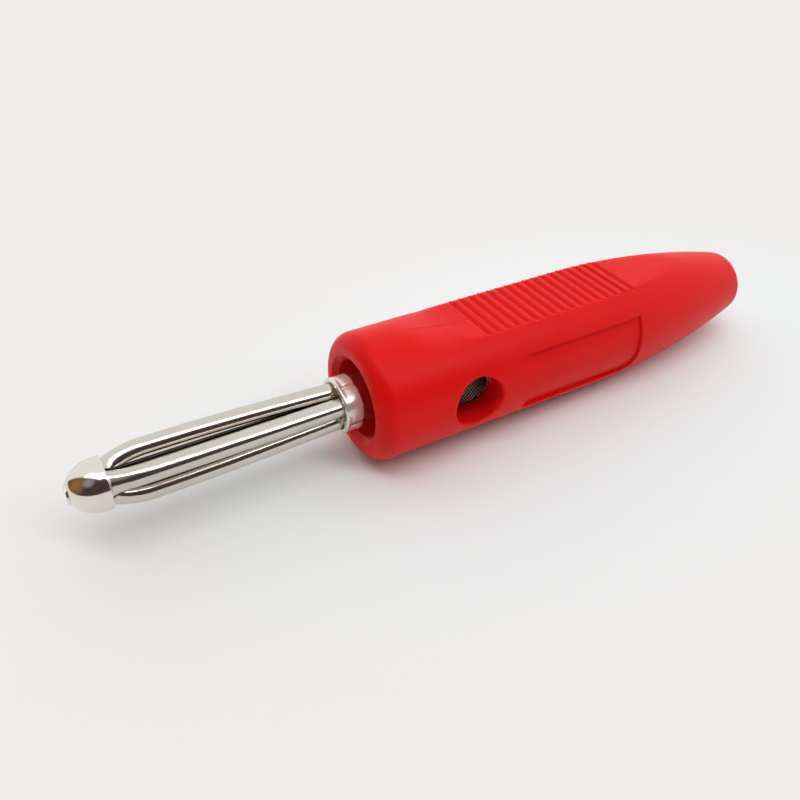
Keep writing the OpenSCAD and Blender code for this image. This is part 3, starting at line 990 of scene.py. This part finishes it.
    # The strip is turned to its place round the plug, and gets its finish.
    place = tree.nodes.new("GeometryNodeTransform")
    link(trim.outputs["Geometry"], place.inputs["Geometry"])
    link(vector(given["Turn"], 0.0, 0.0), place.inputs["Rotation"])
    link(vector(given["Face"], 0.0, given["Axis Height"]), place.inputs["Translation"])
    realize = tree.nodes.new("GeometryNodeRealizeInstances")
    finish = tree.nodes.new("GeometryNodeSetMaterial")
    link(place.outputs["Geometry"], realize.inputs["Geometry"])
    link(realize.outputs["Geometry"], finish.inputs["Geometry"])
    link(given["Finish"], finish.inputs["Material"])
    link(finish.outputs["Geometry"], result.inputs["Geometry"])
    return tree


strip_tree = make_strip_tree()
print("strip tree nodes:", len(strip_tree.nodes))


# %% Four strips
def run_tree(name, tree, values):
    """Runs a geometry tree on an empty mesh and returns the result as a plain piece."""
    piece = add_piece(name, bpy.data.meshes.new(name))
    modifier = piece.modifiers.new(name, "NODES")
    modifier.node_group = tree
    sockets = {item.name: item.identifier for item in tree.interface.items_tree if item.in_out == "INPUT"}
    for label, value in values.items():
        modifier[sockets[label]] = value
    bpy.context.view_layer.update()
    evaluated_mesh(piece)
    return piece


def make_strip(index):
    """One strip in its place, plated outside, with painted shade in a dull brown on its inner and edge faces.
    """
    values = {"Tip": leaf_tip, "Peak": leaf_peak, "Neck": neck_front, "End": leaf_end,
              "Root Radius": leaf_root_r, "Tip Radius": leaf_tip_r, "Bow": leaf_bows[index],
              "Half Width": leaf_r, "Tip Share": leaf_tip_share, "Thickness": leaf_t, "Wrap": leaf_wrap,
              "Trim Length": leaf_trim_at, "Tip Wrap": leaf_tip_wrap,
              "Turn": math.radians(leaf_turns[index] - 90), "Face": face_x, "Axis Height": axis_z,
              "Finish": strip_nickel}
    piece = run_tree(f"spring_strip_{index + 1}", strip_tree, values)
    tidy_mesh(piece.data, sharp_degrees=60)
    piece.data.materials.append(painted_gap_shade_metal)
    turn = math.radians(leaf_turns[index])
    middle = Vector((0, math.cos(turn), math.sin(turn))) * leaf_mid_r
    # Painted shade: faces looking away from the C's middle line get the dull brown of the gaps.
    for face in piece.data.polygons:
        outward = face.center - world_point(0) - middle
        outward.x = 0
        face.material_index = 1 if outward.normalized().dot(face.normal) < shade_facing_limit else 0
    return piece


strips = [make_strip(i) for i in range(4)]
print("strip faces:", [len(s.data.polygons) for s in strips], [round(c, 5) for c in strips[0].bound_box[0]])

# %% [markdown]
# ## The clamp screw
# A short grub screw presses on the wire from above. The handle hides it, but it shows once the handle is
# slid back. Its thread is one more rule on rings: the radius follows a ridge that climbs with the turn.

# %% Clamp screw
thread_pitch = 0.45 * mm
thread_depth = 0.11 * mm
screw_tip_len = 0.4 * mm
screw_len = screw_high.z - screw_low.z
screw_edge = 0.05 * mm
thread_from = 0.1 * mm
thread_full = 0.4 * mm
thread_thins = 0.15 * mm
thread_stops = 0.02 * mm


def screw_rule(along, radius, turn):
    """A pointed thread that climbs once round in each pitch, and fades at both ends."""
    phase = ((along / thread_pitch - turn / (2 * math.pi)) % 1.0) * 2 - 1
    fade_in = smooth_step(along, thread_from, thread_full)
    fade_out = smooth_step(screw_len - along, thread_stops, thread_thins)
    cut = thread_depth * np.abs(phase) * (fade_in * fade_out)
    return np.where(radius > 0.6 * screw_r, radius - cut, radius)


def screw_outline():
    """From the pointed end up to the flat top."""
    points = [(0.0, 0.0), (0.0, screw_r - screw_tip_len), (screw_tip_len, screw_r)]
    points += [(s, screw_r) for s in spaced(screw_tip_len + screw_edge, screw_len - screw_edge, 0.04 * mm)]
    points += [(screw_len - screw_edge, screw_r), (screw_len, screw_r - screw_edge), (screw_len, 0.0)]
    return points


screw_mesh = ring_mesh("clamp_screw", screw_outline(), even_turn(72), screw_rule)
tidy_mesh(screw_mesh)
stand_up = Matrix(((0, 0, -1, 0), (0, 1, 0, 0), (1, 0, 0, 0), (0, 0, 0, 1)))
screw_mesh.transform(Matrix.Translation((-face_x, 0, -axis_z)))
screw_mesh.transform(Matrix.Translation((face_x + screw_at, 0, screw_low.z)) @ stand_up)
grub_screw = add_piece("slotted_clamp_screw", screw_mesh)
grub_screw.data.materials.append(screw_steel)
print("screw box:", [[round(c, 5) for c in grub_screw.bound_box[corner]] for corner in (0, 6)])

# %% [markdown]
# ## The pale floor
# The plug lies on a smooth white sheet. It rests on the front of the barrel and on the end of the lower grip
# flat, so its tail sits slightly lower than its barrel. The floor is tilted to touch those two places,
# because the plug itself stays level in its frame. The sheet is toned a little cooler near the plug, which
# balances the red light that the handle throws on it.

# %% Floor
front_rest = 5.4 * mm
rear_rest = 34.0 * mm
floor_half = 1.2
floor_slope = math.atan((barrel_r - flat_z) / (rear_rest - front_rest))
floor_touch = world_point(front_rest, 0, -barrel_r)
cool_middle = 12 * mm
cool_reach = 45 * mm
cool_width = 30 * mm
cool_full_from = 0.6
cool_tone = (0.82, 0.895, 0.905)
grey_white = (0.83, 0.835, 0.84)
bright_white = (0.845, 0.85, 0.855)


def make_floor():
    """A wide tilted sheet with its own soft white finish."""
    material, tree, shader = new_material("white_sheet")
    paper = use_group(tree, cloud_and_grain, Cloud_Scale=9.0, Grain_Scale=900.0)
    tone = mix_colours(tree, spread(tree, paper.outputs["Cloud"], 0.0, 1.0), grey_white, bright_white)
    place = tree.nodes.new("ShaderNodeTexCoord")
    near_plug = tree.nodes.new("ShaderNodeTexGradient")
    near_plug.gradient_type = "SPHERICAL"
    shrink = tree.nodes.new("ShaderNodeMapping")
    shrink.inputs["Location"].default_value = (-cool_middle / cool_reach, 0.0, 0.0)
    shrink.inputs["Scale"].default_value = (1 / cool_reach, 1 / cool_width, 0.0)
    tree.links.new(place.outputs["Object"], shrink.inputs["Vector"])
    tree.links.new(shrink.outputs["Vector"], near_plug.inputs["Vector"])
    cool = spread(tree, near_plug.outputs["Fac"], 0.0, 1.0, start=0.0, end=cool_full_from)
    tone = mix_colours(tree, cool, tone, cool_tone)
    tree.links.new(tone, shader.inputs["Base Color"])
    shader.inputs["Roughness"].default_value = 0.7
    shader.inputs["Specular IOR Level"].default_value = 0.2
    mesh = bpy.data.meshes.new("white_sheet")
    corners = [(-1, -1), (1, -1), (1, 1), (-1, 1)]
    drop = math.tan(floor_slope)
    points = [(floor_touch.x + sx * floor_half, sy * floor_half, floor_touch.z + sx * floor_half * drop)
              for sx, sy in corners]
    mesh.from_pydata(points, [], [(0, 1, 2, 3)])
    mesh.materials.append(material)
    return add_piece("white_sheet", mesh)


floor = make_floor()
print(f"floor slope {math.degrees(floor_slope):.2f} degrees")

# %% [markdown]
# ## Light
# Bright metal shows its whole surroundings, so the light is set from the reflections on the nose and the
# strips. Traced back, they show three parts: a long bright window that starts over the nose and runs down
# behind the viewer's right shoulder, a dark room below it on the viewer's side, and a pale room elsewhere.
# The dark room has something brown, such as wood, ahead of the plug, and a faint gleam beside it.
# Planes through the plug part them, so the world tells them apart by a few dot products with the direction.


# %% Soft room
def direction_dot(tree, direction, towards):
    """1 where the direction points the same way as the other, 0 square to it and -1 opposite."""
    dot = tree.nodes.new("ShaderNodeVectorMath")
    dot.operation = "DOT_PRODUCT"
    dot.inputs[1].default_value = towards
    tree.links.new(direction, dot.inputs[0])
    return dot.outputs["Value"]


def direction_mask(tree, direction, normal, soft=0.03):
    """1 where the direction is on the side of a plane that its normal points to, 0 on the other side."""
    return spread(tree, direction_dot(tree, direction, normal), 0.0, 1.0, start=-soft, end=soft)


def direction_spot(tree, direction, towards, near, far):
    """1 within near degrees of a direction, fading to 0 at far degrees."""
    start = math.cos(math.radians(far))
    end = math.cos(math.radians(near))
    return spread(tree, direction_dot(tree, direction, towards), 0.0, 1.0, start=start, end=end)


room_split = (0.71, 0.70, 0.38)
window_top = (-0.71, -0.70, -0.10)
window_left_end = (0.0, -1.0, 0.08)
window_right_end = (-0.70, 0.71, 1.40)
pale_room = (0.97, 0.97, 0.965)
dark_room = (0.070, 0.042, 0.047)
wood_towards = (-0.904, 0.063, 0.423)
wood_brown = (0.33, 0.17, 0.05)
gleam_towards = (-0.48, -0.43, 0.765)
gleam_tone = (0.36, 0.30, 0.33)
window_light = (4.9, 4.85, 4.8)


def make_room():
    """The world: a pale room with a dark side and one long window."""
    world = bpy.data.worlds.new("soft_room")
    world.use_nodes = True
    tree = world.node_tree
    shade = next(n for n in tree.nodes if n.type == "BACKGROUND")
    direction = tree.nodes.new("ShaderNodeTexCoord").outputs["Generated"]
    not_dark = direction_mask(tree, direction, room_split)
    window = not_dark
    sums = NodeMaths(tree)
    for edge in (window_top, window_left_end, window_right_end):
        window = sums.step("MULTIPLY", window, direction_mask(tree, direction, edge))
    wood = direction_spot(tree, direction, wood_towards, near=4, far=40)
    gleam = direction_spot(tree, direction, gleam_towards, near=0, far=22)
    dark_side = mix_colours(tree, gleam, mix_colours(tree, wood, dark_room, wood_brown), gleam_tone)
    room = mix_colours(tree, not_dark, dark_side, pale_room)
    tree.links.new(mix_colours(tree, window, room, window_light), shade.inputs["Color"])
    bpy.context.scene.world = world


make_room()
bpy.context.scene.view_settings.view_transform = "Standard"
print("world:", bpy.context.scene.world.name)

# %% [markdown]
# ## Riding on the frame
# Each piece stands for a node of the frame and rides on that node's body, and the node itself is hidden.

# %% Ride and replace
dressed = [
    (red_handle, "handle", "cover", "red_plastic"),
    (contact_body, "contact_body", "contact", "plated_metal"),
    (rod, "core_rod", "contact", "plated_metal"),
    (nose, "nose_cap", "contact", "plated_metal"),
    (grub_screw, "clamp_screw", "screw", "screw_steel"),
] + [(strip, f"spring_leaf_{i + 1}", f"leaf_{i + 1}", "plated_spring") for i, strip in enumerate(strips)]
for piece, node, body, slot in dressed:
    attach(piece, body)
    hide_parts(node)
